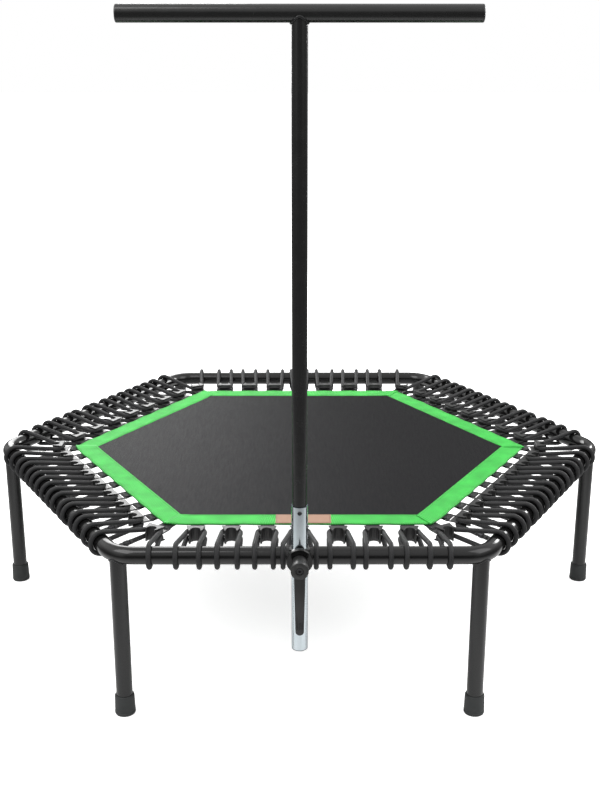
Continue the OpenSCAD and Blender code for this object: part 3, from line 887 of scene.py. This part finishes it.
def make_straps(material):
    """Short webbing straps from under the border to the anchors' lugs."""
    route = [Vector((0, y, z)) for y, z in strap_route()]
    half, thick = 13 * MM, 0.6 * MM
    section = [(-half, 0), (-half + 0.6 * MM, thick), (half - 0.6 * MM, thick), (half, 0),
               (half - 0.6 * MM, -thick), (-half + 0.6 * MM, -thick)]
    points, run = [], 0.0
    lengths = []
    for k, p in enumerate(route):
        way = (route[min(k + 1, len(route) - 1)] - route[max(k - 1, 0)]).normalized()
        normal = Vector((1, 0, 0)).cross(way)
        points += [p + Vector((x, 0, 0)) + normal * z for x, z in section]
        run += (p - route[k - 1]).length if k else 0
        lengths.append(run)
    n = len(section)
    faces = grid_faces(len(route), n, False, True)
    uvs = [[(lengths[i], section[j][0]), (lengths[i], section[(j + 1) % n][0]),
            (lengths[i + 1], section[(j + 1) % n][0]), (lengths[i + 1], section[j][0])]
           for i in range(len(route) - 1) for j in range(n)]
    faces += [tuple(range(n - 1, -1, -1)), tuple((len(route) - 1) * n + j for j in range(n))]
    uvs += [[(0, x) for x, _ in section]] * 2
    shape = Shape()
    for at in ring_spots():
        shape.add(points, faces, uvs, at=at)
    straps = shape.build("mat_strap_webbing", [material])
    smooth_by_angle(straps, 40)
    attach(straps, "mat_edge")
    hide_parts("mat_straps")


def wander(i, k):
    """The sideways wander of a ring's turns along the rail, so that no two look alike."""
    return (1.6 * k + 1.5 * sin(radians(137 * k + 71 * i))) * MM


def half_turn(i, k):
    """Half the distance between a ring's turns: the ring behind the clamp spreads wider."""
    if i == 0 and k == 0:
        return CLAMP_TURN_HALF
    return TURN_HALF - 2.8 * MM * cos(radians(60 * (k - 1) + 75 * i))


def rail_turn(at, out, gap, steps=20):
    """One turn round the rail, from the top, round the outside, to the bottom."""
    up, down = ANCHOR_Z + CHANNEL - RAIL_Z, ANCHOR_Z - CHANNEL - RAIL_Z
    start = pi - atan2(up, gap) - acos(RAIL_RUN / hypot(gap, up))
    stop = -pi - atan2(down, gap) + acos(RAIL_RUN / hypot(gap, down))
    turn = []
    for s in range(steps + 1):
        a = start + (stop - start) * s / steps
        turn.append(Vector((at[0] + RAIL_RUN * cos(a) * out[0], at[1] + RAIL_RUN * cos(a) * out[1],
                            RAIL_Z + RAIL_RUN * sin(a))))
    return turn


def core_turn(at, z, start, stop, steps=14):
    """The half turn behind the anchor's core."""
    angles = [radians(start + (stop - start) * s / steps) for s in range(steps + 1)]
    return [Vector((at[0] + CORE_RUN * cos(a), at[1] + CORE_RUN * sin(a), z)) for a in angles]


def joined(*stretches):
    """Stretches of a closed route, with points along the straight runs between them."""
    route = []
    for k, stretch in enumerate(stretches):
        route += stretch
        nxt = stretches[(k + 1) % len(stretches)][0]
        route += [stretch[-1].lerp(nxt, s / 12) for s in range(1, 12)]
    return route


def ring_route(at, right, right_out, left, left_out, gap):
    turns = (core_turn(at, ANCHOR_Z + CHANNEL, 180, 360), rail_turn(right, right_out, gap),
             core_turn(at, ANCHOR_Z - CHANNEL, 360, 180), rail_turn(left, left_out, gap)[::-1])
    low_run = (turns[1][-1], turns[2][0])
    return joined(*turns), low_run


def edge_ring(i, k):
    x = place(i, k)
    m, h = x + wander(i, k), half_turn(i, k)
    return ring_route((x, ANCHOR_Y), (m + h, RAIL_APOTHEM), (0, 1), (m - h, RAIL_APOTHEM), (0, 1),
                      RAIL_APOTHEM - ANCHOR_Y)


def corner_ring():
    y, x = FRAME_R - CORNER_TURN * cos(radians(60)), CORNER_TURN * sin(radians(60))
    slope = radians(30)
    return ring_route((0, ANCHOR_CORNER_Y), (x, y), (sin(slope), cos(slope)),
                      (-x, y), (-sin(slope), cos(slope)), hypot(x - CORE_RUN, y - ANCHOR_CORNER_Y))


def add_ring(shape, route, low_run, at):
    """One elastic ring with its braided sheath, and the crimp where its two ends meet."""
    length = sum((b - a).length for a, b in zip(route, route[1:] + route[:1]))
    crossings = round(length / (3.2 * MM))
    points, faces, uvs = swept(route, CORD_R, 12, True, crossings)
    shape.add(points, faces, uvs, at=at)
    a, b = low_run
    way = (b - a).normalized()
    mid = a.lerp(b, 0.55)
    swell = [0.2, 0.9, 1.0, 0.82, 1.0, 1.0, 0.82, 1.0, 0.9, 0.2]
    sleeve = [mid + way * ((k / 9 - 0.5) * 10 * MM) for k in range(10)]
    points, faces, uvs = swept(sleeve, lambda k: CORD_R + 1.0 * MM * swell[k], 14)
    shape.add(points, faces, uvs, kind=1, at=at)
    for side in (-1, 1):
        wrap = [mid + way * (side * (8 + 1.1 * k) * MM) for k in range(5)]
        points, faces, uvs = swept(wrap, lambda k: CORD_R + (0.45, 0.2)[k % 2] * MM, 12)
        shape.add(points, faces, uvs, kind=2, at=at)


def make_rings(sheath, dark_metal, whipping):
    for i, edge in enumerate(EDGES):
        shape = Shape()
        for k in range(-RING_HALF, RING_HALF + 1):
            add_ring(shape, *edge_ring(i, k), edge_spot(i))
        rings = shape.build(f"elastic_rings_{edge}", [sheath, dark_metal, whipping])
        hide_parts(f"rings_{edge}", *(["ring_crimps"] if i == 0 else []))
        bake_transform(rings)
    for i, edge in enumerate(EDGES):
        shape = Shape()
        add_ring(shape, *corner_ring(), corner_spot(i))
        ring = shape.build(f"elastic_corner_ring_{i + 1}", [sheath, dark_metal, whipping])
        if i == 0:
            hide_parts("rings_corner")
        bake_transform(ring)


# ---------------------------------------------------------------------------------------------
# Welds and the clamp lever
# ---------------------------------------------------------------------------------------------
def bead(name, route, radius, material, body):
    """A weld bead along a closed route, with the ripple of the torch's steps."""
    ripple = lambda k: radius * (1 + 0.12 * sin(k * 2.1) + 0.06 * sin(k * 5.3))
    points, faces, uvs = swept(route, ripple, 10, True)
    shape = Shape()
    shape.add(points, faces, uvs)
    made = shape.build(name, [material])
    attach(made, body)
    return made


def make_welds(material):
    steps = 96
    turns = [2 * pi * k / steps for k in range(steps)]
    route = []
    for a in turns:
        x, y = POLE_R * cos(a), POLE_R * sin(a)
        route.append(POST + Vector((x, y, BAR_Z - sqrt(BAR_R ** 2 - y ** 2) - 0.3 * MM)))
    bead("weld_bar", route, 2.2 * MM, material, "handle")
    for i in range(len(EDGES)):
        route = []
        for a in turns:
            x, y = LEG_R * cos(a), LEG_R * sin(a)
            off = y + x * x / (2 * BEND_R)
            drop = sqrt(max(RAIL_R ** 2 - off ** 2, 0))
            route.append(corner_spot(i) @ Vector((x, LEG_PLACE + y, RAIL_Z - drop - 0.5 * MM)))
        bead(f"weld_leg_{i + 1}", route, 1.7 * MM, material, "frame")


def make_lever_ribs(material):
    """Four short ribs on the front of the lever, just above its tip."""
    mesh = frame["nodes"]["clamp_lever"].data
    face = BVHTree.FromPolygons([v.co for v in mesh.vertices], [p.vertices for p in mesh.polygons])
    low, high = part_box("clamp_lever")
    shape = Shape()
    for k in range(4):
        x = (low.x + high.x) / 2 + (k - 1.5) * 2.6 * MM
        route = []
        for step in range(9):
            z = low.z + (8 + 2 * step) * MM
            route.append(face.ray_cast(Vector((x, low.y - 0.05, z)), Vector((0, 1, 0)))[0])
        points, faces, uvs = swept(route, lambda k: (0.3 if k in (0, 8) else 0.75) * MM, 8)
        shape.add(points, faces, uvs)
    ribs = shape.build("lever_ribs", [material])
    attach(ribs, frame["nodes"]["clamp_lever"]["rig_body"])


def make_springs(material):
    """The leaf behind the button and the coil under the lever's screw, copied from the frame with
    their own material."""
    for node, still, moving, swap in (("button_spring", "handle", "button", False),
                                      ("lever_spring", "core", "lever", True)):
        source = frame["nodes"][node]
        made = bpy.data.objects.new(f"{node}_wire", source.data.copy())
        bpy.context.scene.collection.objects.link(made)
        made.data.materials.clear()
        made.data.materials.append(material)
        smooth_by_angle(made, 40)
        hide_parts(node)
        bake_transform(made)


def finish_cad(nodes, material):
    """The record's own shape stays, with its material."""
    for name in nodes:
        made = frame["nodes"][name]
        if not made.material_slots:
            made.data.materials.append(material)
        for material_slot in made.material_slots:
            material_slot.material = material


def main():
    bpy.context.scene.view_settings.view_transform = "Standard"
    make_camera()
    make_floor()
    make_light()
    nodes = frame["nodes"]
    starting = lambda *heads: [n for n in nodes if n.startswith(heads)]
    paint = powder_coat("black_powder_coat", 0.004, 0.15)
    handle_paint = powder_coat("black_handle_coat", 0.012, 0.22)
    metal = plated_steel()
    finish_cad(starting("rail_", "bend_", "leg_") + ["clamp_collar", "clamp_boss"], paint)
    finish_cad(starting("foot_"), foot_rubber())
    finish_cad(["upper_pole", "cross_bar"], handle_paint)
    finish_cad(["lower_tube", "leg_studs"], zinc_plate())
    finish_cad(["tube_plug", "bar_end_caps"], moulded_plastic("black_cap_plastic", 0.013, 0.4))
    finish_cad(["collar_liner"], moulded_plastic("black_nylon", 0.014, 0.45))
    finish_cad(["lever_core"], metal)
    make_springs(metal)
    dark_metal = blackened_steel()
    finish_cad(["lever_screw", "snap_button"], dark_metal)
    finish_cad(["clamp_pad"], turned_brass())
    casting = moulded_plastic("cast_lever_coating", 0.012, 0.42)
    bevelled_copy("clamp_lever", "clamp_lever_casting", 0.9 * MM, casting)
    make_lever_ribs(casting)
    green_dark, green_light = (0.002, 0.03, 0.004), (0.062, 0.79, 0.095)
    dark_edge_from = BORDER_OUT - BORDER_IN - 1.3 * MM
    make_mat(mat_fabric())
    make_border(webbing("green_webbing", green_dark, green_light, 4.2 * MM, dark_edge_from),
                stitch_thread("green_thread", (0.1, 0.42, 0.09)))
    make_label(tan_label(), stitch_thread("tan_thread", (0.2, 0.11, 0.075)))
    make_anchors(moulded_plastic("anchor_plastic", 0.014, 0.34))
    make_straps(webbing("black_webbing", (0.008, 0.008, 0.009), (0.022, 0.022, 0.024), 1.8 * MM))
    make_rings(braided_sheath(), dark_metal, stitch_thread("whipping_thread", (0.05, 0.05, 0.05)))
    make_welds(weld_bead())


main()
